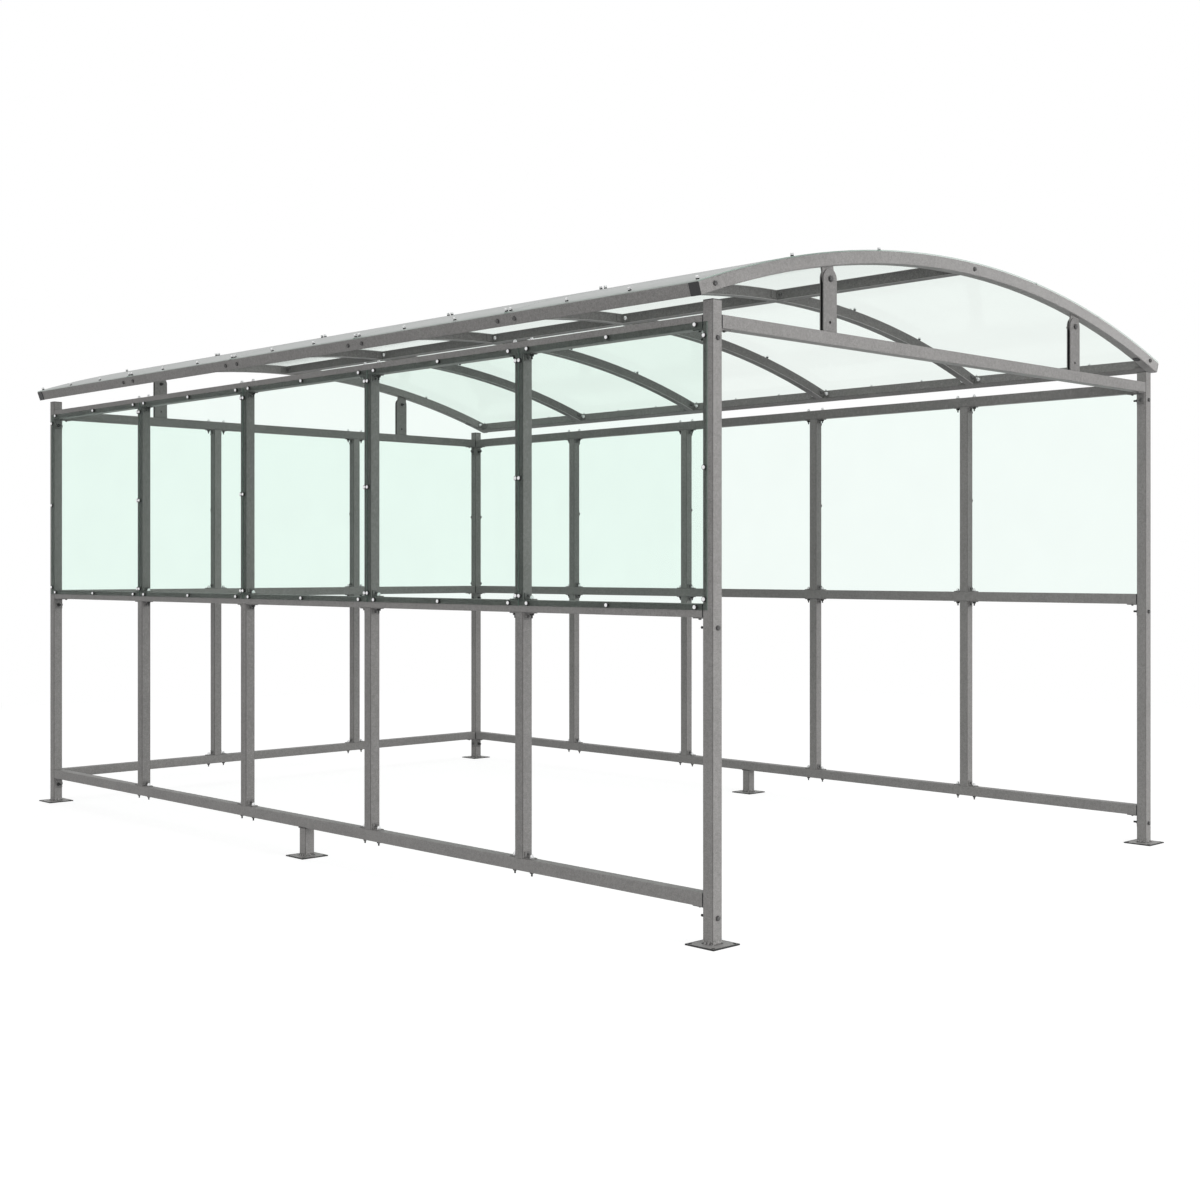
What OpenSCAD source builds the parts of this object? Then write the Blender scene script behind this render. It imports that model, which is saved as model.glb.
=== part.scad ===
/* [Frame] */
// Distance between the centres of neighbouring posts and mullions along a long side
side_bay = 1000; // [850:10:1100]
// Distance between the centres of neighbouring posts and mullions across the back
back_bay = 1000; // [900:10:1100]
// Outside width of the square tube
tube = 48; // [42:1:54]
// Wall thickness of the square tube
tube_wall = 2; // [1.5:0.5:3]
// Outside corner radius of the square tube
tube_corner = 4; // [3.5:0.5:6]
// Height of the bottom rails' underside above the ground
rail_base = 131; // [110:1:180]
// Rise from one rail to the next
rail_pitch = 1000; // [900:5:1100]
// How far the posts stand above the top rails
post_rise = 47; // [30:1:60]

/* [Feet] */
// Width of the square base plates
plate_w = 135; // [125:1:160]
// Thickness of the base plates
plate_thick = 5; // [4:1:12]
// Distance of the bolt holes' centres from the edges of a base plate
plate_hole_inset = 13.5; // [12:0.5:18]
// Diameter of the base plates' bolt holes
plate_hole_d = 14; // [10:1:16]

/* [Wall panels] */
// Thickness of the clear wall panels
panel_thick = 4; // [3:0.5:8]
// How far a wall panel laps the rails above and below it
panel_lap = 22; // [10:1:30]
// Gap between neighbouring panels
panel_gap = 2; // [1:0.5:6]

/* [Roof] */
// Outer radius of the arches
roof_radius = 4760; // [4000:10:6000]
// How far the roof reaches out past the frame on each side
eave_reach = 71; // [50:1:120]
// Height of the arches' underside above the front beam at the brackets
roof_rise = 247; // [230:1:300]
// Thickness of the clear roof sheets
sheet_thick = 4; // [3:0.5:8]
// Gap between neighbouring roof sheets
sheet_gap = 3; // [1:0.5:6]
// Play between a roof sheet and the tubes under it
sheet_play = 0.3; // [0.1:0.1:0.6]

/* [Roof brackets] */
// Distance of each bracket from the middle of the shelter
bracket_x = 866; // [700:1:1000]
// Width of a bracket's plates
bracket_w = 78; // [60:1:100]
// Thickness of each of a bracket's two plates
bracket_thick = 5; // [4:0.5:8]
// Gap between the round top of a bracket and the arch over it
bracket_gap = 8; // [4:0.5:16]
// Diameter of the spare hole low in a bracket
bracket_hole_d = 12; // [8:1:14]
// Height of the spare hole above the foot of a bracket
bracket_hole_z = 37; // [25:1:60]
// How far the lug that hangs from an arch stays inside the edges of a bracket
lug_inset = 6; // [1:0.5:12]
// Thickness of the lug
lug_thick = 8; // [5:0.5:12]
// Play between a lug and the plates beside it
lug_play = 0.3; // [0.1:0.1:0.6]

/* [Cleats] */
// Thickness of the angle cleats
cleat_thick = 4; // [3:0.5:6]
// Width of the angle cleats
cleat_w = 32; // [24:1:34]
// Length of a cleat's leg along the rail, purlin or arch
cleat_long = 40; // [34:1:48]
// Length of a cleat's leg along the mullion
cleat_short = 28; // [24:1:40]
// Length of both legs of the cleats at the ends of the rails
end_cleat_leg = 55; // [45:1:60]

/* [Caps] */
// Thickness of the rim of the plastic tube caps
cap_rim = 3; // [2:0.5:5]
// Depth of the plug of a tube cap
cap_plug = 16; // [10:1:25]
// Play between the plug of a cap and the tube around it
cap_play = 0.3; // [0.1:0.1:0.5]
// How far the rims of the rails' end caps stay inside the tube's faces
rail_cap_inset = 0.5; // [0.3:0.1:1]

/* [Hidden] */
$fn = 32;
// A cut runs past the faces that it opens
over = 1;
side_bays = 5;
back_bays = 3;
half = tube / 2;
post_x = back_bays * back_bay / 2;
post_y = side_bays * side_bay / 2;
// Clear spans between the faces of the posts
span_y = 2 * post_y - tube;
span_x = 2 * post_x - tube;
rail_length_y = span_y - 2 * cap_rim;
rail_length_x = span_x - 2 * cap_rim;
rail_z = [for (k = [0:2]) rail_base + k * rail_pitch];
beam_top = rail_z[2] + tube;
post_top = beam_top + post_rise;
mullion_length = rail_pitch - tube;
side_mullion_y = [for (i = [1:side_bays - 1]) -post_y + i * side_bay];
back_mullion_x = [for (i = [1:back_bays - 1]) -post_x + i * back_bay];
panel_low = rail_z[1] + tube - panel_lap;
panel_height = rail_z[2] + panel_lap - panel_low;
plate_hole_r = plate_hole_d / 2;
plate_hole_place = plate_w / 2 - plate_hole_inset;
arch_inner = roof_radius - tube;
// Height of the arches' centre: the underside clears the beam by roof_rise at the brackets
arch_z = beam_top + roof_rise - sqrt(pow(arch_inner, 2) - pow(bracket_x, 2));
roof_half = post_x + half + eave_reach;
// Half the angle that one tube's width takes up on the outer radius
tube_angle = asin(half / roof_radius);
end_angle = asin(roof_half / roof_radius);
eave_angle = end_angle - tube_angle;
// Radius at which the flat top of a purlin lies, so that its edges are on the outer radius
purlin_top = roof_radius * cos(tube_angle);
arch_y = [for (i = [0:side_bays]) -post_y + i * side_bay];
sheet_inner = roof_radius + sheet_play;
// Radius, about the arches' centre, on which the brackets' round tops are centred
pivot_radius = arch_inner - bracket_gap - bracket_w / 2;
pivot_angle = asin(bracket_x / pivot_radius);
pivot_height = arch_z + pivot_radius * cos(pivot_angle) - beam_top;
lug_w = bracket_w - 2 * lug_inset;
bracket_plate_y = lug_thick / 2 + lug_play + bracket_thick / 2;
steel = "dimgray";
clear_sheet = [0.86, 0.96, 0.91, 0.45];
plastic = [0.12, 0.12, 0.13];

// Square with round corners, centred on the origin
module round_square(width, radius) {
    inset = width / 2 - radius;
    square([width, 2 * inset], center = true);
    square([2 * inset, width], center = true);
    for (x = [-inset, inset], y = [-inset, inset])
        translate([x, y]) circle(r = radius);
}

// Cross-section of the square tube
module tube_section() {
    difference() {
        round_square(tube, tube_corner);
        round_square(tube - 2 * tube_wall, tube_corner - tube_wall);
    }
}

// Tube that rises from the origin
module tube_up(length) {
    linear_extrude(height = length) tube_section();
}

// Tube along Y, centred on the origin
module tube_y(length) {
    rotate([90, 0, 0]) linear_extrude(height = length, center = true) tube_section();
}

// Tube along X, centred on the origin
module tube_x(length) {
    rotate([0, 90, 0]) linear_extrude(height = length, center = true) tube_section();
}

// Places its children on the four corner posts
module at_posts() {
    for (x = [-post_x, post_x], y = [-post_y, post_y])
        translate([x, y, 0]) children();
}

// Places its children on the two middle feet
module at_middle_feet() {
    for (x = [-post_x, post_x])
        translate([x, 0, 0]) children();
}

module base_plate() {
    places = [-plate_hole_place, plate_hole_place];
    difference() {
        translate([-plate_w / 2, -plate_w / 2, 0]) cube([plate_w, plate_w, plate_thick]);
        for (x = places, y = places)
            translate([x, y, -over]) cylinder(r = plate_hole_r, h = plate_thick + 2 * over);
    }
}

module base_plates() {
    color(steel) {
        at_posts() base_plate();
        at_middle_feet() base_plate();
    }
}

module post(side_x, side_y) {
    color(steel) translate([side_x * post_x, side_y * post_y, plate_thick]) tube_up(post_top - plate_thick);
}

module middle_feet() {
    color(steel) at_middle_feet() translate([0, 0, plate_thick]) tube_up(rail_z[0] - plate_thick);
}

module side_rail(side, level) {
    color(steel) translate([side * post_x, 0, rail_z[level] + half]) tube_y(rail_length_y);
}

module cross_rail(side, level) {
    color(steel) translate([0, side * post_y, rail_z[level] + half]) tube_x(rail_length_x);
}

// Lower and upper length of one mullion
module mullion_pair() {
    for (level = [0, 1])
        translate([0, 0, rail_z[level] + tube]) tube_up(mullion_length);
}

module side_mullions(side) {
    color(steel) for (y = side_mullion_y) translate([side * post_x, y, 0]) mullion_pair();
}

module back_mullions() {
    color(steel) for (x = back_mullion_x) translate([x, post_y, 0]) mullion_pair();
}

module side_panels(side) {
    width = side_bay - panel_gap;
    x = side > 0 ? post_x + half : -post_x - half - panel_thick;
    color(clear_sheet) for (i = [0:side_bays - 1])
        translate([x, arch_y[i] + panel_gap / 2, panel_low]) cube([panel_thick, width, panel_height]);
}

module back_panels() {
    width = back_bay - panel_gap;
    color(clear_sheet) for (i = [0:back_bays - 1])
        translate([-post_x + i * back_bay + panel_gap / 2, post_y + half, panel_low])
            cube([width, panel_thick, panel_height]);
}

// Places its children at the eave, with X outward along the arch, Z outward from its centre and the origin on top
module at_eave(side) {
    mirror([side < 0 ? 1 : 0, 0, 0]) translate([0, 0, arch_z]) rotate([0, eave_angle, 0])
        translate([0, 0, purlin_top]) children();
}

// Sweeps its child along the arch: X is the radius, Y the length of the shelter
module sweep_arch(angle) {
    translate([0, 0, arch_z]) rotate([90, 0, 0]) rotate([0, 0, 90 - angle])
        rotate_extrude(angle = 2 * angle, $fn = 360) children();
}

// Curved tube cut flat at both eaves, at end_x from the middle of the purlin
module arch(index, end_x) {
    block = 4 * tube;
    color(steel) translate([0, arch_y[index], 0]) difference() {
        sweep_arch(end_angle + tube_angle) translate([roof_radius - half, 0]) tube_section();
        for (side = [-1, 1])
            at_eave(side) translate([end_x, -block / 2, -block / 2]) cube(block);
    }
}

// The end arches run out over the purlins' ends
module end_arch(index) {
    arch(index, half);
}

// The other arches end against the purlins' inner faces
module inner_arch(index) {
    arch(index, -half);
}

module eave_purlin(side) {
    color(steel) at_eave(side) translate([0, 0, -half]) tube_y(span_y);
}

module ridge_purlins() {
    color(steel) for (i = [0:side_bays - 1])
        translate([0, arch_y[i] + side_bay / 2, arch_z + purlin_top - half]) tube_y(side_bay - tube);
}

// Curved sheet over one bay, reaching the outer faces of the end arches
module roof_sheet(bay_index) {
    front = bay_index == 0 ? arch_y[0] - half : arch_y[bay_index] + sheet_gap / 2;
    back = bay_index == side_bays - 1 ? arch_y[side_bays] + half : arch_y[bay_index + 1] - sheet_gap / 2;
    color(clear_sheet) translate([0, back, 0]) sweep_arch(end_angle)
        translate([sheet_inner, 0]) square([sheet_thick, back - front]);
}

// Upright plate with a round top and a spare hole, standing on the origin
module bracket_plate() {
    rotate([90, 0, 0]) linear_extrude(height = bracket_thick, center = true) difference() {
        union() {
            translate([-bracket_w / 2, 0]) square([bracket_w, pivot_height]);
            translate([0, pivot_height]) circle(d = bracket_w, $fn = 96);
        }
        translate([0, bracket_hole_z]) circle(d = bracket_hole_d);
    }
}

// Two plates with room for a lug between them
module bracket() {
    for (y = [-bracket_plate_y, bracket_plate_y])
        translate([0, y, 0]) bracket_plate();
}

module brackets(end) {
    color(steel) for (x = [-bracket_x, bracket_x]) translate([x, end * post_y, beam_top]) bracket();
}

// Tongue that points at the arch, with its round end on the origin
module lug_outline() {
    circle(d = lug_w, $fn = 96);
    translate([-lug_w / 2, 0]) square([lug_w, bracket_w + bracket_gap]);
}

// Plates under the end arches, shaped to their curve, that hang between the brackets' plates
module arch_lugs() {
    color(steel) for (side = [-1, 1], end = [-1, 1]) translate([0, end * post_y, arch_z]) intersection() {
        rotate([90, 0, 0]) linear_extrude(height = lug_thick, center = true)
            rotate(-side * pivot_angle) translate([0, pivot_radius]) lug_outline();
        rotate([90, 0, 0]) cylinder(r = arch_inner, h = 2 * lug_thick, center = true, $fn = 360);
    }
}

// Plastic cap with its rim on the end of a tube and its plug inside, looking along Z
module tube_cap(inset = 0) {
    plug_w = tube - 2 * (tube_wall + cap_play);
    linear_extrude(height = cap_rim) round_square(tube - 2 * inset, tube_corner);
    translate([0, 0, -cap_plug]) linear_extrude(height = cap_plug)
        round_square(plug_w, tube_corner - tube_wall);
}

module arch_end_caps() {
    color(plastic) for (side = [-1, 1], y = [-post_y, post_y])
        at_eave(side) translate([half, y, -half]) rotate([0, 90, 0]) tube_cap();
}

module post_caps() {
    color(plastic) at_posts() translate([0, 0, post_top]) tube_cap();
}

// Caps on both ends of one rail, against the posts at the ends of a span along X
module rail_cap_pair(span, level) {
    for (side = [0, 1]) mirror([side, 0, 0])
        translate([span / 2 - cap_rim, 0, rail_z[level] + half]) rotate([0, 90, 0]) tube_cap(rail_cap_inset);
}

module rail_end_caps() {
    color(plastic) {
        for (x = [-post_x, post_x], level = [0:2])
            translate([x, 0, 0]) rotate([0, 0, 90]) rail_cap_pair(span_y, level);
        for (level = [0:2]) translate([0, post_y, 0]) rail_cap_pair(span_x, level);
        translate([0, -post_y, 0]) rail_cap_pair(span_x, 2);
    }
}

// Angle cleat in a corner: one leg along X, the other along Z, centred on Y
module cleat(leg_x, leg_z) {
    rotate([90, 0, 0]) linear_extrude(height = cleat_w, center = true)
        polygon([[0, 0], [leg_x, 0], [leg_x, cleat_thick], [cleat_thick, cleat_thick], [cleat_thick, leg_z], [0, leg_z]]);
}

// Cleats at both sides of one mullion, at each end of its two lengths
module mullion_cleat_set() {
    for (level = [0, 1], side = [0, 1]) mirror([side, 0, 0]) {
        translate([half, 0, rail_z[level] + tube]) cleat(cleat_long, cleat_short);
        translate([half, 0, rail_z[level + 1]]) mirror([0, 0, 1]) cleat(cleat_long, cleat_short);
    }
}

module mullion_cleats() {
    color(steel) {
        for (x = [-post_x, post_x], y = side_mullion_y) translate([x, y, 0]) rotate([0, 0, 90]) mullion_cleat_set();
        for (x = back_mullion_x) translate([x, post_y, 0]) mullion_cleat_set();
    }
}

// Cleats under one rail at both ends of a span along X
module end_cleat_pair(span, level) {
    for (side = [0, 1]) mirror([side, 0, 0])
        translate([-span / 2, 0, rail_z[level]]) mirror([0, 0, 1]) cleat(end_cleat_leg, end_cleat_leg);
}

module rail_end_cleats() {
    color(steel) {
        for (x = [-post_x, post_x], level = [0:2])
            translate([x, 0, 0]) rotate([0, 0, 90]) end_cleat_pair(span_y, level);
        for (level = [0:2]) translate([0, post_y, 0]) end_cleat_pair(span_x, level);
        translate([0, -post_y, 0]) end_cleat_pair(span_x, 2);
    }
}

// Sides on which an arch carries cleats: the end arches only inward
function cleat_sides(index) = index == 0 ? [1] : index == side_bays ? [-1] : [-1, 1];

// Cleat that lies flat in the corner of a purlin's face, at -X, and an arch's face, towards Y
module roof_cleat(way) {
    mirror([0, way < 0 ? 1 : 0, 0]) rotate([0, 0, 90]) rotate([-90, 0, 0]) cleat(cleat_long, cleat_long);
}

module roof_cleats() {
    color(steel) for (index = [0:side_bays], way = cleat_sides(index), side = [-1, 1])
        translate([0, arch_y[index] + way * half, 0]) {
            at_eave(side) translate([-half, 0, -half]) roof_cleat(way);
            mirror([side < 0 ? 1 : 0, 0, 0]) translate([-half, 0, arch_z + purlin_top - half]) roof_cleat(way);
        }
}

base_plates();
post(-1, -1);  // front_left_post
post(1, -1);  // front_right_post
post(-1, 1);  // back_left_post
post(1, 1);  // back_right_post
middle_feet();
side_rail(-1, 0);  // left_bottom_rail
side_rail(-1, 1);  // left_middle_rail
side_rail(-1, 2);  // left_top_rail
side_rail(1, 0);  // right_bottom_rail
side_rail(1, 1);  // right_middle_rail
side_rail(1, 2);  // right_top_rail
cross_rail(1, 0);  // back_bottom_rail
cross_rail(1, 1);  // back_middle_rail
cross_rail(1, 2);  // back_top_rail
cross_rail(-1, 2);  // front_beam
side_mullions(-1);  // left_mullions
side_mullions(1);  // right_mullions
back_mullions();
side_panels(-1);  // left_panels
side_panels(1);  // right_panels
back_panels();
end_arch(0);  // front_arch
inner_arch(1);  // second_arch
inner_arch(2);  // third_arch
inner_arch(3);  // fourth_arch
inner_arch(4);  // fifth_arch
end_arch(side_bays);  // back_arch
eave_purlin(-1);  // left_eave_purlin
eave_purlin(1);  // right_eave_purlin
ridge_purlins();
roof_sheet(0);  // first_roof_sheet
roof_sheet(1);  // second_roof_sheet
roof_sheet(2);  // third_roof_sheet
roof_sheet(3);  // fourth_roof_sheet
roof_sheet(4);  // fifth_roof_sheet
brackets(-1);  // front_brackets
brackets(1);  // back_brackets
arch_lugs();
arch_end_caps();
post_caps();
rail_end_caps();
mullion_cleats();
rail_end_cleats();
roof_cleats();
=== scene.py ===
import math
import bpy
from mathutils import Matrix, Vector


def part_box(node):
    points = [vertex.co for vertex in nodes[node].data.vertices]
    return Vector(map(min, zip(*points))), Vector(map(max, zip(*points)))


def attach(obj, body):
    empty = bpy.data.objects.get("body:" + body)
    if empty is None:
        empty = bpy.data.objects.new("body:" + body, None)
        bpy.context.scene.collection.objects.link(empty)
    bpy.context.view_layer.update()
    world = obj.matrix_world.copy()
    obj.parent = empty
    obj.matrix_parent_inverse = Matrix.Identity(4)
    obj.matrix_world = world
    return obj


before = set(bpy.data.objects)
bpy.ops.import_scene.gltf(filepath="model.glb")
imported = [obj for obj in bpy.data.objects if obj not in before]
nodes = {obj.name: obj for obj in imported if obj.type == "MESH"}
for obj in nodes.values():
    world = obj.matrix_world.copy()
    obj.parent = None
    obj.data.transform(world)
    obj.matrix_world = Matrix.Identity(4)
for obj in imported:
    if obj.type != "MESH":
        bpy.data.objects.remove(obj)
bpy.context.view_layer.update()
scene = bpy.context.scene
millimetre = 0.001
print("frame loaded,", len(nodes), "nodes")


# Shader maths

class Wire:
    # a socket that takes part in Python sums
    def __init__(self, tree, socket=None):
        self.tree = tree
        self.socket = socket

    def add(self, kind, settings=None, inputs=None, output=0):
        node = self.tree.nodes.new(kind)
        for name, value in (settings or {}).items():
            setattr(node, name, value)
        for name, value in (inputs or {}).items():
            if isinstance(value, Wire):
                self.tree.links.new(value.socket, node.inputs[name])
            else:
                node.inputs[name].default_value = value
        return Wire(self.tree, node.outputs[output] if len(node.outputs) else None)

    def sum(self, operation, first, second=0.0):
        return self.add("ShaderNodeMath", {"operation": operation}, {0: first, 1: second})

    def __add__(self, other):
        return self.sum("ADD", self, other)

    def __sub__(self, other):
        return self.sum("SUBTRACT", self, other)

    def __rsub__(self, other):
        return self.sum("SUBTRACT", other, self)

    def __mul__(self, other):
        return self.sum("MULTIPLY", self, other)

    def __pow__(self, other):
        return self.sum("POWER", self, other)

    __radd__ = __add__
    __rmul__ = __mul__


def newMaterial(name):
    material = bpy.data.materials.new(name)
    material.use_nodes = True
    material.node_tree.nodes.clear()
    wire = Wire(material.node_tree)
    place = wire.add("ShaderNodeTexCoord", output="Object")
    return material, wire, place


def noise(wire, place, scale, detail=2.0, roughness=0.5):
    return wire.add("ShaderNodeTexNoise", {"noise_dimensions": "3D"},
                    {"Vector": place, "Scale": scale, "Detail": detail, "Roughness": roughness})


def spread(wire, value, low, high, toLow=0.0, toHigh=1.0):
    return wire.add("ShaderNodeMapRange", {"clamp": True}, {
        "Value": value, "From Min": low, "From Max": high, "To Min": toLow, "To Max": toHigh})


def axisOf(wire, vector, axis):
    return wire.add("ShaderNodeSeparateXYZ", None, {"Vector": vector}, axis)


def mixColour(wire, factor, first, second, blend="MIX"):
    return wire.add("ShaderNodeMix", {"data_type": "RGBA", "blend_type": blend},
                    {0: factor, 6: first, 7: second}, output=2)


def finishMaterial(wire, surface):
    wire.add("ShaderNodeOutputMaterial", inputs={"Surface": surface})


# Grey coating on the steel, with painted light and shade in some copies, on edges and in gaps

coating = {
    "body": (0.265, 0.258, 0.252, 1.0),
    "shade": (0.205, 0.2, 0.196, 1.0),
    "speck": (0.37, 0.362, 0.355, 1.0),
    "pit": (0.13, 0.127, 0.126, 1.0),
    "speckScale": 620.0,
    "speckShare": 0.45,
    "grainScale": 210.0,
    "grainShare": 0.5,
    "mottleScale": 75.0,
    "mottleShare": 0.25,
    "cloudScale": 5.5,
    "cloudShare": 0.35,
    # painted shade colour for the rounded corners between upright faces
    "cornerShade": (0.05, 0.049, 0.048, 1.0),
    "cornerShadeShare": 0.7,
    "glint": (0.6, 0.592, 0.585, 1.0),
    "glintShare": 0.0,
    # painted shade colour for the bracket gap, the plate outlines and the plate sides
    "cut": (0.03, 0.03, 0.03, 1.0),
    "scale": (0.09, 0.088, 0.086, 1.0),
    "spatter": (0.46, 0.455, 0.45, 1.0),
    "spatterScale": 120.0,
    "rimStart": 0.925,
    "rimFull": 0.94,
    "gapFade": 0.95,
    "plateTop": 0.0055,
    "weldTop": 0.026,
    "roughness": (0.45, 0.6),
    "metallic": 0.05,
    "specular": 0.3,
    "bump": 0.05,
    "bumpDepth": 0.0006,
}

# painted shade: a darker copy of the coating for members that stand in shade, the roof brackets and the top rails
# and eave purlin on the right and at the back
shadedCoating = {**coating, "body": (0.21, 0.205, 0.2, 1.0), "shade": (0.165, 0.16, 0.157, 1.0)}
# painted light: a paler copy of the coating for the base plates, whose tops face the light
litCoating = {**coating, "body": (0.37, 0.362, 0.355, 1.0), "shade": (0.3, 0.293, 0.287, 1.0)}
# painted shade: a darker copy for the cleats, which sit under and beside the rails
shadedCleatCoating = {**coating, "body": (0.17, 0.166, 0.163, 1.0), "shade": (0.13, 0.127, 0.124, 1.0)}
# painted shade and light: a darker copy for the steel under the roof, with a painted highlight along its rounded
# edges
shadedRoofCoating = {**coating, "body": (0.165, 0.161, 0.158, 1.0), "shade": (0.12, 0.117, 0.115, 1.0),
               "speck": (0.3, 0.293, 0.287, 1.0), "pit": (0.06, 0.058, 0.057, 1.0), "glintShare": 0.7}
# painted shade: a darker copy for the left mullions, which stand behind the side panels
shadedMullionCoating = {**coating, "body": (0.228, 0.222, 0.217, 1.0), "shade": (0.178, 0.174, 0.17, 1.0)}
# painted light: the front arch grows lighter towards +X
archSideLight = {"span": (-1.0, 1.4), "gain": (0.105, 0.104, 0.103, 1.0)}
weldCoating = {**coating, "body": (0.1, 0.098, 0.096, 1.0), "shade": (0.07, 0.068, 0.067, 1.0),
               "speck": (0.2, 0.196, 0.192, 1.0), "pit": (0.05, 0.049, 0.048, 1.0)}


def greySteel(name, options, gapShade=None, rim=None, sideLight=None):
    material, wire, place = newMaterial(name)
    clouds = noise(wire, place, options["cloudScale"], 3.0, 0.55)
    grain = noise(wire, place, options["grainScale"], 2.0, 0.6)
    specks = noise(wire, place, options["speckScale"], 1.0, 0.5)
    mottle = noise(wire, place, options["mottleScale"], 2.0, 0.6)
    colour = options["body"]
    # each layer: its noise, where it starts and is full, its share and its colour
    layers = [
        (clouds, 0.35, 0.65, "cloudShare", "shade"),
        (mottle, 0.5, 0.7, "mottleShare", "speck"),
        (mottle, 0.5, 0.3, "mottleShare", "pit"),
        (grain, 0.52, 0.72, "grainShare", "speck"),
        (grain, 0.46, 0.30, "grainShare", "pit"),
        (specks, 0.60, 0.72, "speckShare", "speck"),
    ]
    for source, start, full, share, tone in layers:
        colour = mixColour(wire, spread(wire, source, start, full, 0.0, options[share]), colour, options[tone])
    # painted light: a lighter tone added towards +X
    if sideLight:
        sideways = spread(wire, axisOf(wire, place, "X"), *sideLight["span"])
        colour = mixColour(wire, sideways, colour, sideLight["gain"], "ADD")
    height = axisOf(wire, place, "Z")
    normal = wire.add("ShaderNodeNewGeometry", output="Normal")
    squares = []
    for axis in "XYZ":
        part = axisOf(wire, normal, axis)
        squares.append(part * part)
    # 1 half way round the corner between two faces
    upright = squares[0] * squares[1] * 4.0
    level = (squares[0] + squares[1]) * squares[2] * 4.0
    # painted shade: a dark line down the rounded corners between upright faces
    cornerShade = spread(wire, upright, 0.1, 0.9, 0.0, options["cornerShadeShare"])
    colour = mixColour(wire, cornerShade, colour, options["cornerShade"])
    glint = spread(wire, level, 0.3, 0.9, 0.0, options["glintShare"])
    colour = mixColour(wire, glint, colour, options["glint"])
    along, across = [wire.sum("ABSOLUTE", axisOf(wire, place, axis)) for axis in "XY"]
    # painted shade inside the narrow gap between the two plates of a bracket
    if gapShade:
        offset = wire.sum("ABSOLUTE", across - gapShade["line"])
        between = spread(wire, offset, gapShade["half"], gapShade["half"] * options["gapFade"])
        colour = mixColour(wire, between, colour, options["cut"])
    # painted shade: a dark outline round the top of each base plate, just inside its edge
    if rim:
        lengthwise = wire.sum("MINIMUM", across, wire.sum("ABSOLUTE", across - rim["y"]))
        offset = wire.sum("MAXIMUM", wire.sum("ABSOLUTE", along - rim["x"]), lengthwise)
        border = spread(wire, offset, rim["half"] * options["rimStart"], rim["half"] * options["rimFull"])
        colour = mixColour(wire, border, colour, options["cut"])
    # painted shade on the upright sides of the base plates, down where they meet the floor
    low = options["plateTop"]
    cutEdge = spread(wire, squares[2], 0.4, 0.2) * spread(wire, height, low, low * 0.9)
    colour = mixColour(wire, cutEdge, colour, options["cut"])
    heat = spread(wire, height, options["weldTop"], low * 1.6) * spread(wire, height, low * 0.95, low)
    spatter = noise(wire, place, options["spatterScale"], 3.0, 0.65)
    colour = mixColour(wire, heat * spread(wire, spatter, 0.5, 0.4), colour, options["scale"])
    colour = mixColour(wire, heat * spread(wire, spatter, 0.53, 0.63), colour, options["spatter"])
    low, high = options["roughness"]
    rough = spread(wire, grain * 0.6 + clouds * 0.4, 0.3, 0.7, low, high)
    peel = wire.add("ShaderNodeBump", None, {
        "Strength": options["bump"], "Distance": options["bumpDepth"], "Height": grain * 0.6 + specks * 0.4})
    shader = wire.add("ShaderNodeBsdfPrincipled", None, {
        "Base Color": colour, "Roughness": rough, "Metallic": options["metallic"], "Normal": peel,
        "Specular IOR Level": options["specular"]})
    finishMaterial(wire, shader)
    return material


# Clear sheet with a pale green tint

sheet = {
    "tint": (0.951, 0.990, 0.971, 1.0),
    "roofTint": (0.937, 0.966, 0.949, 1.0),
    "edge": (0.3, 0.4, 0.35, 1.0),
    "haze": (0.72, 0.73, 0.725, 1.0),
    "hazeShare": (0.0, 0.012),
    "grazeHaze": 0.85,
    "grazeSpan": (0.88, 0.95),
    "dustScale": 3.0,
    "mirror": (0.0, 0.1),
    "mirrorPower": 5.0,
    "shine": (0.9, 0.93, 0.92, 1.0),
    "held": (0.1, 0.1, 0.1, 1.0),
    "sideShade": 0.42,
    "backShade": 0.25,
    "roofShade": 0.0,
    "edgeShare": 0.55,
    "edgeRoughness": 0.25,
    "gloss": 0.06,
}


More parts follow.
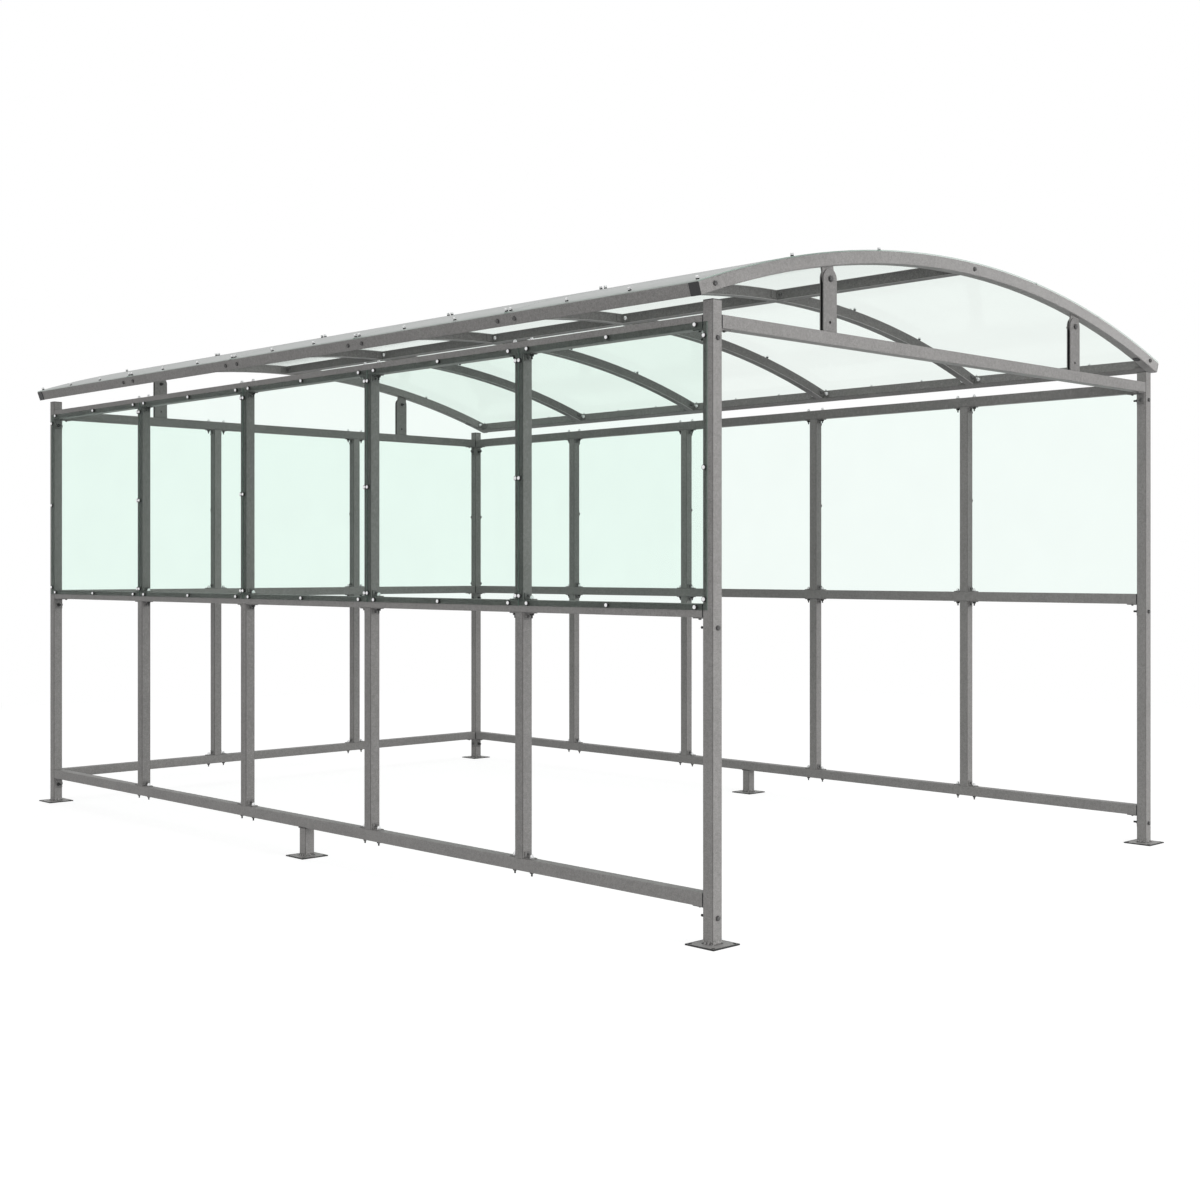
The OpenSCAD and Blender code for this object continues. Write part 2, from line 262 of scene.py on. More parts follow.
def clearSheet(name, options, faceAxes, tint, shade):
    material, wire, place = newMaterial(name)
    normal = wire.add("ShaderNodeNewGeometry", output="Normal")
    # 1 on the faces, which look along faceAxes, and 0 on the cut edges
    parts = [axisOf(wire, normal, axis) for axis in faceAxes]
    face = sum(part * part for part in parts)
    edge = spread(wire, face, 0.5, 0.3)
    dust = noise(wire, place, options["dustScale"], 4.0, 0.6)
    low, high = options["hazeShare"]
    slant = wire.add("ShaderNodeLayerWeight", None, {"Blend": 0.5}, "Facing")
    graze = spread(wire, slant, *options["grazeSpan"], 0.0, options["grazeHaze"])
    haze = spread(wire, dust, 0.35, 0.75, low, high) + graze
    through = wire.add("ShaderNodeBsdfTransparent", None, {"Color": tint})
    milky = wire.add("ShaderNodeBsdfDiffuse", None, {"Color": options["haze"]})
    body = wire.add("ShaderNodeMixShader", None, {0: haze, 1: through, 2: milky})
    rim = wire.add("ShaderNodeBsdfPrincipled", None, {
        "Base Color": options["edge"], "Roughness": options["edgeRoughness"]})
    body = wire.add("ShaderNodeMixShader", None, {0: edge * options["edgeShare"], 1: body, 2: rim})
    shine = wire.add("ShaderNodeBsdfAnisotropic", None, {
        "Color": options["shine"], "Roughness": options["gloss"]})
    headOn, grazing = options["mirror"]
    mirror = slant ** options["mirrorPower"] * grazing + headOn
    surface = wire.add("ShaderNodeMixShader", None, {0: mirror, 1: body, 2: shine})
    if shade > 0.0:
        # the sheet holds back part of the light that falls through it
        blocked = (wire.add("ShaderNodeLightPath", output="Is Shadow Ray")
                   + wire.add("ShaderNodeLightPath", output="Is Diffuse Ray")) * shade
        dark = wire.add("ShaderNodeBsdfDiffuse", None, {"Color": options["held"]})
        surface = wire.add("ShaderNodeMixShader", None, {0: blocked, 1: surface, 2: dark})
    finishMaterial(wire, surface)
    return material


# Moulded black caps

capPlastic = {
    "body": (0.018, 0.018, 0.02, 1.0),
    "scuff": (0.05, 0.05, 0.052, 1.0),
    "scuffScale": 60.0,
    "scuffShare": 0.8,
    "roughness": (0.42, 0.6),
    "poreScale": 900.0,
    "bump": 0.15,
    "bumpDepth": 0.0003,
}


def blackPlastic(name, options):
    material, wire, place = newMaterial(name)
    grain = noise(wire, place, options["poreScale"], 2.0, 0.5)
    scuffs = noise(wire, place, options["scuffScale"], 4.0, 0.65)
    scuffed = spread(wire, scuffs, 0.5, 0.75, 0.0, options["scuffShare"])
    colour = mixColour(wire, scuffed, options["body"], options["scuff"])
    low, high = options["roughness"]
    pores = wire.add("ShaderNodeBump", None, {
        "Strength": options["bump"], "Distance": options["bumpDepth"], "Height": grain})
    shader = wire.add("ShaderNodeBsdfPrincipled", None, {
        "Base Color": colour, "Roughness": spread(wire, scuffs, 0.3, 0.7, low, high), "Normal": pores})
    finishMaterial(wire, shader)
    return material


# Bright zinc on screws, dull zinc on bolts, dark steel on nuts, rubber under the washers; bright zinc on the cap
# nuts, the ridge bolts away from the front and the roof nuts is painted light

fastenerGrain = {"patchScale": 160.0, "toothScale": 1100.0, "bump": 0.1, "bumpDepth": 0.0002}
brightZincAndLitCopies = {**fastenerGrain, "body": (0.93, 0.93, 0.935, 1.0), "dull": (0.8, 0.8, 0.81, 1.0),
              "roughness": (0.22, 0.42), "metallic": 0.85}
dullZinc = {**fastenerGrain, "body": (0.12, 0.118, 0.117, 1.0), "dull": (0.07, 0.07, 0.07, 1.0),
            "roughness": (0.4, 0.62), "metallic": 0.35}
darkNut = {**fastenerGrain, "body": (0.035, 0.035, 0.034, 1.0), "dull": (0.02, 0.02, 0.02, 1.0),
           "roughness": (0.45, 0.65), "metallic": 0.2}
rubber = {**fastenerGrain, "body": (0.02, 0.02, 0.021, 1.0), "dull": (0.035, 0.035, 0.035, 1.0),
          "roughness": (0.6, 0.8), "metallic": 0.0}


def fastenerFinish(name, options):
    material, wire, place = newMaterial(name)
    patches = noise(wire, place, options["patchScale"], 3.0, 0.6)
    fine = noise(wire, place, options["toothScale"], 1.0, 0.5)
    colour = mixColour(wire, spread(wire, patches, 0.4, 0.65), options["body"], options["dull"])
    low, high = options["roughness"]
    tooth = wire.add("ShaderNodeBump", None, {
        "Strength": options["bump"], "Distance": options["bumpDepth"], "Height": fine})
    shader = wire.add("ShaderNodeBsdfPrincipled", None, {
        "Base Color": colour, "Roughness": spread(wire, patches, 0.3, 0.7, low, high),
        "Metallic": options["metallic"], "Normal": tooth})
    finishMaterial(wire, shader)
    return material


steelCoat = greySteel("greyCoating", coating)
low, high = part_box("front_brackets")
bracketSkin = 3.5 * millimetre
bracketGapShade = {"line": abs(low.y + high.y) / 2, "half": (high.y - low.y) / 2 - bracketSkin}
# painted shade: the brackets take the darker shaded copy of the coating, with a dark band in the gap between
# their plates
shadedBracketCoat = greySteel("greyShadedBracketCoating", shadedCoating, bracketGapShade)
# painted shade: the top members on the right and at the back take the darker shaded copy
shadedTopCoat = greySteel("greyShadedTopCoating", shadedCoating)
shadedMullionCoat = greySteel("greyShadedMullionCoating", shadedMullionCoating)
litArchCoat = greySteel("greyLitArchCoating", coating, sideLight=archSideLight)
shadedCleatCoat = greySteel("greyShadedCleatCoating", shadedCleatCoating)
weldCoat = greySteel("greyWeldCoating", weldCoating)
shadedRoofCoat = greySteel("greyShadedRoofCoating", shadedRoofCoating)
low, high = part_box("base_plates")
postLow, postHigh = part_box("front_right_post")
plateRim = {"x": (postLow.x + postHigh.x) / 2, "y": abs(postLow.y + postHigh.y) / 2}
plateRim["half"] = high.x - plateRim["x"]
litPlateCoat = greySteel("greyLitPlateCoating", litCoating, rim=plateRim)
sideSheet = clearSheet("clearSideSheet", sheet, "X", sheet["tint"], sheet["sideShade"])
backSheet = clearSheet("clearBackSheet", sheet, "Y", sheet["tint"], sheet["backShade"])
roofSheet = clearSheet("clearRoofSheet", sheet, "XZ", sheet["roofTint"], sheet["roofShade"])
capBlack = blackPlastic("blackCapPlastic", capPlastic)
# bright zinc for the screws, and painted light on the lit bolts and nuts
screwZincAndLitBolts = fastenerFinish("brightScrewZincAndLitBolts", brightZincAndLitCopies)
boltZinc = fastenerFinish("dullBoltZinc", dullZinc)
nutDark = fastenerFinish("darkNutSteel", darkNut)
sealRubber = fastenerFinish("sealRubber", rubber)

innerArchNames = ("second_arch", "third_arch", "fourth_arch", "fifth_arch")
namedFinish = {
    "base_plates": litPlateCoat,
    "left_mullions": shadedMullionCoat,
    "front_arch": litArchCoat,
    "left_panels": sideSheet,
    "right_panels": sideSheet,
    "back_panels": backSheet,
    **dict.fromkeys(innerArchNames + ("ridge_purlins",), shadedRoofCoat),
    **dict.fromkeys(("right_top_rail", "back_top_rail", "right_eave_purlin"), shadedTopCoat),
}
endingFinish = {"_brackets": shadedBracketCoat, "_cleats": shadedCleatCoat, "_roof_sheet": roofSheet, "_caps": capBlack}
for nodeName, node in nodes.items():
    finish = namedFinish.get(nodeName, steelCoat)
    for ending, endFinish in endingFinish.items():
        if nodeName.endswith(ending):
            finish = endFinish
    node.data.materials.clear()
    node.data.materials.append(finish)
print("materials ready")


# Places taken from the frame

def middle(nodeName):
    low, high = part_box(nodeName)
    return (low + high) / 2


postCentre = middle("front_right_post")
postX = postCentre.x
postY = -postCentre.y
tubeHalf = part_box("front_right_post")[1].x - postX
railBottoms = [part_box(f"left_{level}_rail")[0].z for level in ("bottom", "middle", "top")]
railTops = [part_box(f"left_{level}_rail")[1].z for level in ("bottom", "middle", "top")]
archY = [middle(name).y for name in innerArchNames]
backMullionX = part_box("back_mullions")[1].x - tubeHalf
cleatThick = 4.0 * millimetre
bracketWidth = 78.0 * millimetre
roofRadius = 4.76
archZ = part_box("front_arch")[1].z - roofRadius
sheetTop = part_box("first_roof_sheet")[1].z - archZ
eaveAngle = math.asin((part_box("front_arch")[1].x) / roofRadius) - math.asin(tubeHalf / roofRadius)
panelOut = postX + tubeHalf + (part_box("left_panels")[1].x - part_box("left_panels")[0].x)
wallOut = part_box("back_panels")[1].y


# Modelling helpers

hexSides = 6
topFacing = 0.9
smoothAngle = math.radians(32)


def startClean():
    if bpy.context.object and bpy.context.object.mode != "OBJECT":
        bpy.ops.object.mode_set(mode="OBJECT")
    bpy.ops.object.select_all(action="DESELECT")


def addPrism(sides, radius, bottom, height):
    startClean()
    bpy.ops.mesh.primitive_cylinder_add(vertices=sides, radius=radius, depth=height,
                                        location=(0, 0, bottom + height / 2))
    bpy.ops.object.transform_apply(location=True, rotation=True, scale=True)
    return bpy.context.object


def pickTop(piece):
    bpy.ops.object.mode_set(mode="EDIT")
    bpy.ops.mesh.select_mode(type="FACE")
    bpy.ops.mesh.select_all(action="DESELECT")
    bpy.ops.object.mode_set(mode="OBJECT")
    for face in piece.data.polygons:
        face.select = face.normal.z > topFacing
    bpy.ops.object.mode_set(mode="EDIT")


def bevelTop(piece, offset, segments=1):
    pickTop(piece)
    bpy.ops.mesh.bevel(offset=offset, segments=segments, affect="EDGES")
    bpy.ops.object.mode_set(mode="OBJECT")


def paint(piece, material):
    piece.data.materials.clear()
    piece.data.materials.append(material)


def joinPieces(name, pieces):
    startClean()
    for piece in pieces:
        piece.select_set(True)
    bpy.context.view_layer.objects.active = pieces[0]
    bpy.ops.object.join()
    whole = bpy.context.object
    whole.name = name
    bpy.ops.object.shade_smooth_by_angle(angle=smoothAngle)
    return whole


def seat(point, outward):
    way = Vector(outward).normalized().to_track_quat("Z", "Y").to_matrix().to_4x4()
    return Matrix.Translation(Vector(point)) @ way


def layCopies(name, master, places):
    shape = master.data
    points, faces, marks, smooth = [], [], [], []
    for place in places:
        first = len(points)
        points += [place @ vertex.co for vertex in shape.vertices]
        for face in shape.polygons:
            faces.append([first + index for index in face.vertices])
            marks.append(face.material_index)
            smooth.append(face.use_smooth)
    mesh = bpy.data.meshes.new(name)
    mesh.from_pydata(points, [], faces)
    for material in shape.materials:
        mesh.materials.append(material)
    mesh.polygons.foreach_set("material_index", marks)
    mesh.polygons.foreach_set("use_smooth", smooth)
    mesh.update()
    piece = bpy.data.objects.new(name, mesh)
    scene.collection.objects.link(piece)
    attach(piece, "root")
    print(name, len(places), "copies,", len(faces), "faces")


def dropMaster(master):
    bpy.data.objects.remove(master)


turnStep = 2.399963  # a fixed step, so that no two neighbours stand alike


def turned(places):
    return [place @ Matrix.Rotation(index * turnStep, 4, "Z") for index, place in enumerate(places)]


# Hex bolts with washers, and their nuts with thread ends

bolt = {
    "headRadius": 8.6 * millimetre,
    "headHeight": 5.5 * millimetre,
    "headChamfer": 1.0 * millimetre,
    "washerRadius": 9.6 * millimetre,
    "washerHeight": 1.6 * millimetre,
    "washerSides": 14,
    "washerChamfer": 0.4 * millimetre,
    "smallShare": 0.62,
    "largeShare": 1.3,
    "nutHeight": 6.5 * millimetre,
    "domeRadius": 7.4 * millimetre,
    "domeSides": 10,
    "domeRings": 6,
    "threadRadius": 3.9 * millimetre,
    "threadRoot": 0.86,
    "threadPitch": 2.4 * millimetre,
    "threadTurns": 4,
    "threadSides": 8,
    "threadSunk": 1.0 * millimetre,
    "threadStart": 0.5 * millimetre,
    "tipHeight": 1.0 * millimetre,
    "tipShare": 0.75,
}
longThread = {"threadTurns": 6, "threadRadius": 5.0 * millimetre}


def makeWasher(options, size=1.0):
    washer = addPrism(options["washerSides"], options["washerRadius"] * size, 0.0, options["washerHeight"])
    bevelTop(washer, options["washerChamfer"])
    return washer


def makeBoltHead(name, options, material, size=1.0):
    washer = makeWasher(options, size)
    head = addPrism(hexSides, options["headRadius"] * size, options["washerHeight"], options["headHeight"] * size)
    bevelTop(head, options["headChamfer"])
    paint(washer, material)
    paint(head, material)
    return joinPieces(name, [head, washer])


def makeNutEnd(name, options, material):
    washer = makeWasher(options)
    nut = addPrism(hexSides, options["headRadius"], options["washerHeight"], options["nutHeight"])
    bevelTop(nut, options["headChamfer"])
    nutTop = options["washerHeight"] + options["nutHeight"]
    sunk, start = options["threadSunk"], options["threadStart"]
    thread = addPrism(options["threadSides"], options["threadRadius"], nutTop - sunk, sunk + start)
    pickTop(thread)
    height = nutTop + start
    rise = options["threadPitch"] / 2
    for ring in range(2 * options["threadTurns"]):
        size = options["threadRoot"] if ring % 2 == 0 else 1 / options["threadRoot"]
        height += rise
        bpy.ops.mesh.extrude_region_move(TRANSFORM_OT_translate={"value": (0, 0, rise)})
        bpy.ops.transform.resize(value=(size, size, 1), center_override=(0, 0, height))
    tip, share = options["tipHeight"], options["tipShare"]
    bpy.ops.mesh.extrude_region_move(TRANSFORM_OT_translate={"value": (0, 0, tip)})
    bpy.ops.transform.resize(value=(share, share, 1), center_override=(0, 0, height + tip))
    bpy.ops.object.mode_set(mode="OBJECT")
    for piece in (washer, nut, thread):
        paint(piece, material)
    return joinPieces(name, [nut, washer, thread])


def makeCapNut(name, options, material):
    base = makeBoltHead(name, options, material)
    startClean()
    bpy.ops.mesh.primitive_uv_sphere_add(segments=options["domeSides"], ring_count=options["domeRings"],
                                         radius=options["domeRadius"])
    bpy.ops.transform.translate(value=(0, 0, options["washerHeight"] + options["headHeight"]))
    bpy.ops.object.transform_apply(location=True, rotation=True, scale=True)
    dome = bpy.context.object
    paint(dome, material)
    return joinPieces(name, [base, dome])


boltHead = makeBoltHead("boltHeadMaster", bolt, boltZinc)
# painted light: a bright copy of the bolt head for lit bolts
litBoltHead = makeBoltHead("litBoltHeadMaster", bolt, screwZincAndLitBolts)
smallHead = makeBoltHead("smallHeadMaster", bolt, boltZinc, bolt["smallShare"])
largeHead = makeBoltHead("largeHeadMaster", bolt, boltZinc, bolt["largeShare"])
# painted light: bright zinc on the cap nuts on the rail tops
litCapNut = makeCapNut("litCapNutMaster", bolt, screwZincAndLitBolts)
nutEnd = makeNutEnd("nutEndMaster", bolt, nutDark)
# painted light: a bright copy of the nut end for the roof nuts
litNutEnd = makeNutEnd("litNutEndMaster", bolt, screwZincAndLitBolts)
longEnd = makeNutEnd("longEndMaster", {**bolt, **longThread}, nutDark)

joint = {
    "besideMullion": 0.050,
    "alongShortLeg": 0.017,
    "endBolt": 0.035,
    "roofBolt": 0.030,
    "besideRidge": 0.055,
}
up, down = Vector((0, 0, 1)), Vector((0, 0, -1))


def mullionSpots():
    # centre and direction of the rail for each mullion
    spots = [(Vector((side * postX, y, 0)), Vector((0, 1, 0))) for side in (-1, 1) for y in archY]
    return spots + [(Vector((x, postY, 0)), Vector((1, 0, 0))) for x in (-backMullionX, backMullionX)]


def mullionFasteners():
    heads, legHeads, ends = [], [], []
    for centre, along in mullionSpots():
        for side in (-1, 1):
            spot = centre + along * side * joint["besideMullion"]
            lift = Vector((0, 0, cleatThick))
            # a cleat lies over the two lower rails and under the two upper ones
            lifts = [(lift, Vector()), (lift, lift), (Vector(), lift)]
            for top, bottom, (above, below) in zip(railTops, railBottoms, lifts):
                heads.append(seat(spot + Vector((0, 0, top)) + above, up))
                ends.append(seat(spot + Vector((0, 0, bottom)) - below, down))
            face = centre + along * side * (tubeHalf + cleatThick)
            reach = joint["alongShortLeg"]
            for z in (railTops[0] + reach, railBottoms[1] - reach, railTops[1] + reach, railBottoms[2] - reach):
                legHeads.append(seat(face + Vector((0, 0, z)), along * side))
    return heads, legHeads, ends


def endCleatFasteners():
    heads, underHeads, ends = [], [], []
    reach = joint["endBolt"]
    for x in (-postX, postX):
        for side in (-1, 1):
            inward = Vector((0, -side, 0))
            post = Vector((x, side * postY, 0))
            for bottom in railBottoms:
                drop = Vector((0, 0, bottom - reach))
                heads.append(seat(post - inward * tubeHalf + drop, -inward))
                ends.append(seat(post + inward * (tubeHalf + cleatThick) + drop, inward))
                under = post + inward * (tubeHalf + reach) + Vector((0, 0, bottom - cleatThick))
                underHeads.append(seat(under, down))
    for y, levels in ((postY, railBottoms), (-postY, railBottoms[2:])):
        for side in (-1, 1):
            inward = Vector((-side, 0, 0))
            post = Vector((side * postX, y, 0))
            for bottom in levels:
                leg = post + inward * (tubeHalf + cleatThick) + Vector((0, 0, bottom - reach))
                heads.append(seat(leg, inward))
                under = post + inward * (tubeHalf + reach) + Vector((0, 0, bottom - cleatThick))
                underHeads.append(seat(under, down))
    return heads, underHeads, ends


def onArch(angle, radius, y):
    return Vector((radius * math.sin(angle), y, archZ + radius * math.cos(angle)))


def outwardAt(angle):
    return Vector((math.sin(angle), 0, math.cos(angle)))


def alongAt(angle):
    return Vector((math.cos(angle), 0, -math.sin(angle)))


def roofFasteners():
    heads, litHeads, ends = [], [], []
    litRidgeY = sorted(archY)[1:]  # painted light: only the ridge bolts away from the open front get the bright lit copy; those nearest it stay dull
    purlinTop = roofRadius * math.cos(math.asin(tubeHalf / roofRadius))
    boltRadius = purlinTop - tubeHalf
    beside = joint["besideMullion"]
    for side in (-1, 1):
        angle = side * eaveAngle
        away = alongAt(angle) * side
        core = onArch(angle, boltRadius, 0)
        for y in archY:
            for way in (-1, 1):
                spot = core + Vector((0, y + way * beside, 0))
                heads.append(seat(spot + away * tubeHalf, away))
                ends.append(seat(spot - away * (tubeHalf + cleatThick), -away))
                leg = core - away * (tubeHalf + joint["roofBolt"])
                heads.append(seat(leg + Vector((0, y + way * (tubeHalf + cleatThick), 0)), (0, way, 0)))
        for y, face in ((-postY, -1), (postY, 1)):
            leg = core - away * (tubeHalf + joint["roofBolt"]) + Vector((0, y, 0))
            heads.append(seat(leg + Vector((0, face * tubeHalf, 0)), (0, face, 0)))
            ends.append(seat(leg - Vector((0, face * (tubeHalf + cleatThick), 0)), (0, -face, 0)))
    ridge = Vector((0, 0, archZ + boltRadius))
    for y in archY + [-postY, postY]:
        for way in (-1, 1):
            if abs(y + way * beside) > postY:
                continue
            spot = ridge + Vector((0, y + way * beside, 0))
            ridgeRow = litHeads if y in litRidgeY else heads
            ridgeRow.append(seat(spot + Vector((-tubeHalf - cleatThick, 0, 0)), (-1, 0, 0)))
            ends.append(seat(spot + Vector((tubeHalf + cleatThick, 0, 0)), (1, 0, 0)))
    for y, face in ((-postY, -1), (postY, 1)):
        spot = onArch(joint["besideRidge"] / boltRadius, boltRadius, y)
        heads.append(seat(spot + Vector((0, face * tubeHalf, 0)), (0, face, 0)))
    return heads, litHeads, ends


def bracketFasteners():
    heads, ends = [], []
    for name, face in (("front_brackets", -1), ("back_brackets", 1)):
        low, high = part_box(name)
        radius = bracketWidth / 2
        for side in (-1, 1):
            x = side * (high.x - radius)
            y = high.y if face > 0 else low.y
            other = low.y if face > 0 else high.y
            heads.append(seat((x, y, high.z - radius), (0, face, 0)))
            ends.append(seat((x, other, high.z - radius), (0, -face, 0)))
    return heads, ends


mullionHeads, mullionLegHeads, mullionEnds = mullionFasteners()
endHeads, underHeads, endEnds = endCleatFasteners()
roofHeads, litRidgeHeads, roofEnds = roofFasteners()
bracketHeads, bracketEnds = bracketFasteners()
fastenerRows = [
    ("mullionBolts", litCapNut, mullionHeads),
    ("mullionLegBolts", smallHead, mullionLegHeads),
    ("mullionNuts", nutEnd, mullionEnds),
    ("railEndBolts", boltHead, endHeads),
    ("railUnderBolts", smallHead, underHeads),
    ("railEndNuts", longEnd, endEnds),
    ("roofBolts", boltHead, roofHeads),
    ("ridgeBolts", litBoltHead, litRidgeHeads),
    ("roofNuts", litNutEnd, roofEnds),
    ("bracketBolts", largeHead, bracketHeads),
    ("bracketNuts", longEnd, bracketEnds),
]
for rowName, master, places in fastenerRows:
    layCopies(rowName, master, turned(places))
for master in (boltHead, litBoltHead, smallHead, largeHead, litCapNut, nutEnd, litNutEnd, longEnd):
    dropMaster(master)


# Sheet screws with sealing washers

screw = {
    "sealRadius": 9.4 * millimetre,
    "sealHeight": 5.6 * millimetre,
    "washerRadius": 7.4 * millimetre,
    "washerHeight": 1.2 * millimetre,
    "headRadius": 5.6 * millimetre,
    "headHeight": 2.8 * millimetre,
    "headChamfer": 1.1 * millimetre,
    "dishWidth": 1.6 * millimetre,
    "dishDepth": 0.6 * millimetre,
    "sides": 12,
}

roofScrew = {
    **screw,
    "sealRadius": 6.4 * millimetre,
    "sealHeight": 4.6 * millimetre,
    "washerRadius": 7.0 * millimetre,
    "washerHeight": 1.6 * millimetre,
    "headRadius": 6.2 * millimetre,
    "headHeight": 7.0 * millimetre,
}


def makeScrew(name, options):
    sides, sealTop = options["sides"], options["sealHeight"]
    seal = addPrism(sides, options["sealRadius"], 0.0, sealTop)
    paint(seal, sealRubber)
    washer = addPrism(sides, options["washerRadius"], sealTop, options["washerHeight"])
    pickTop(washer)
    bpy.ops.mesh.inset(thickness=options["dishWidth"], depth=options["dishDepth"])
    bpy.ops.object.mode_set(mode="OBJECT")
    paint(washer, screwZincAndLitBolts)
    head = addPrism(hexSides, options["headRadius"], sealTop + options["washerHeight"], options["headHeight"])
    bevelTop(head, options["headChamfer"], 2)
    paint(head, screwZincAndLitBolts)
    return joinPieces(name, [head, washer, seal])


sheetScrew = makeScrew("sheetScrewMaster", screw)
tallScrew = makeScrew("tallScrewMaster", roofScrew)

panelRow = {
    "heights": (2.105, 1.650, 1.195),
    "railHeights": (2.146, 1.167),
    "besideMullion": 0.055,
    "besidePost": 0.0115,
    "besideJoint": 0.010,
}


def panelScrewSpots(wall):
    # places along the wall, then heights
    span = postX if wall == "back" else postY
    lines = [-backMullionX, backMullionX] if wall == "back" else archY
    edges = [-span] + sorted(lines) + [span]
    spots = []
    for line in lines:
        for way in (-1, 1):
            spots += [(line + way * panelRow["besideJoint"], z) for z in panelRow["heights"]]
            spots += [(line + way * panelRow["besideMullion"], z) for z in panelRow["railHeights"]]
    for start, stop in zip(edges, edges[1:]):
        spots += [((start + stop) / 2, z) for z in panelRow["railHeights"]]
    for way in (-1, 1):
        inner = way * (span - panelRow["besidePost"])
        spots += [(inner, z) for z in panelRow["heights"]]
        spots += [(way * (span - panelRow["besideMullion"]), z) for z in panelRow["railHeights"]]
    return spots


wallScrews = {
    "left": [seat((-panelOut, at, z), (-1, 0, 0)) for at, z in panelScrewSpots("left")],
    "right": [seat((panelOut, at, z), (1, 0, 0)) for at, z in panelScrewSpots("right")],
    "back": [seat((at, wallOut, z), (0, 1, 0)) for at, z in panelScrewSpots("back")],
}
for wall, places in wallScrews.items():
    layCopies(f"{wall}PanelScrews", sheetScrew, turned(places))

roofRow = {"archSpots": (0.556, 1.074), "besideJoint": 0.013, "eaveBetween": (-0.167, 0.167)}


def roofScrewPlaces():
    places = []
    for y in archY + [-postY, postY]:
        ways = (-1, 1) if abs(y) < postY - tubeHalf else (0,)
        for reach in roofRow["archSpots"]:
            for side in (-1, 1):
                angle = math.asin(side * reach / sheetTop)
                for way in ways:
                    spot = onArch(angle, sheetTop, y + way * roofRow["besideJoint"])
                    places.append(seat(spot, outwardAt(angle)))
    bays = [-postY] + sorted(archY) + [postY]
    for side in (-1, 1):
        angle = side * eaveAngle
        for start, stop in zip(bays, bays[1:]):
            centre = (start + stop) / 2
            ends = [spot if abs(spot) == postY else spot + way * roofRow["besideJoint"]
                    for spot, way in ((start, 1), (stop, -1))]
            for y in ends + [centre + shift for shift in roofRow["eaveBetween"]]:
                places.append(seat(onArch(angle, sheetTop, y), outwardAt(angle)))
    return places


layCopies("roofScrews", tallScrew, turned(roofScrewPlaces()))
dropMaster(sheetScrew)
dropMaster(tallScrew)


# Dark discs under the ends of the end arches

darkDisc = {
    "radius": 18.0 * millimetre,
    "height": 2.5 * millimetre,
    "chamfer": 1.0 * millimetre,
    "sides": 24,
    "fromEave": 134.0 * millimetre,
}

darkDiscMaster = addPrism(darkDisc["sides"], darkDisc["radius"], 0.0, darkDisc["height"])
bevelTop(darkDiscMaster, darkDisc["chamfer"], 2)
paint(darkDiscMaster, capBlack)
darkDiscPlaces = []
for side in (-1, 1):
    angle = side * (eaveAngle - darkDisc["fromEave"] / roofRadius)
    for y in (-postY, postY):
        darkDiscPlaces.append(seat(onArch(angle, roofRadius - 2 * tubeHalf, y), -outwardAt(angle)))
layCopies("archDarkDiscs", darkDiscMaster, darkDiscPlaces)
dropMaster(darkDiscMaster)


# Weld beads round the feet and under the roof brackets

weld = {
    "radius": 4.0 * millimetre,
    "sides": 8,
    "rings": 6,
    "pitch": 4.2 * millimetre,
    "stretch": (1.25, 1.0, 0.8),
    "lean": 38.0,
}


def makeRipple(name, options):
    startClean()
    bpy.ops.mesh.primitive_uv_sphere_add(segments=options["sides"], ring_count=options["rings"],
                                         radius=options["radius"])
    bpy.ops.transform.resize(value=options["stretch"])
    bpy.ops.object.transform_apply(location=True, rotation=True, scale=True)
    ripple = bpy.context.object
    ripple.name = name
    paint(ripple, weldCoat)
    bpy.ops.object.shade_smooth()
    return ripple


def squareRun(x, y, z, half, options):
    places = []
    count = int(2 * half / options["pitch"])
    tilt = Matrix.Rotation(math.radians(options["lean"]), 4, "X")
    for side in range(4):
        turn = Matrix.Rotation(side * math.pi / 2, 4, "Z")
        for index in range(count + 1):
            along = -half + 2 * half * index / count
            spot = turn @ Vector((half, along, 0)) + Vector((x, y, z))
            lengthwise = turn @ Matrix.Rotation(math.pi / 2, 4, "Z")
            places.append(Matrix.Translation(spot) @ lengthwise @ tilt)
    return places


def straightRun(start, stop, pitch):
    start, stop = Vector(start), Vector(stop)
    count = max(2, int((stop - start).length / pitch))
    way = (stop - start).normalized().to_track_quat("X", "Z").to_matrix().to_4x4()
    return [Matrix.Translation(start.lerp(stop, index / count)) @ way for index in range(count + 1)]


ripple = makeRipple("weldRippleMaster", weld)
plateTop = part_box("base_plates")[1].z
beads = []
for x in (-postX, postX):
    for y in (-postY, 0, postY):
        beads += squareRun(x, y, plateTop, tubeHalf, weld)
    beads += squareRun(x, 0, railBottoms[0], tubeHalf, weld)
layCopies("footWelds", ripple, beads)
beads = []
for name in ("front_brackets", "back_brackets"):
    low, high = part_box(name)
    for side in (-1, 1):
        outer = side * high.x
        inner = side * (high.x - bracketWidth)
        for y in (low.y, high.y):
            beads += straightRun((inner, y, low.z), (outer, y, low.z), weld["pitch"])
layCopies("bracketWelds", ripple, beads)
dropMaster(ripple)
print("pieces ready")


# Floor, backdrop and light

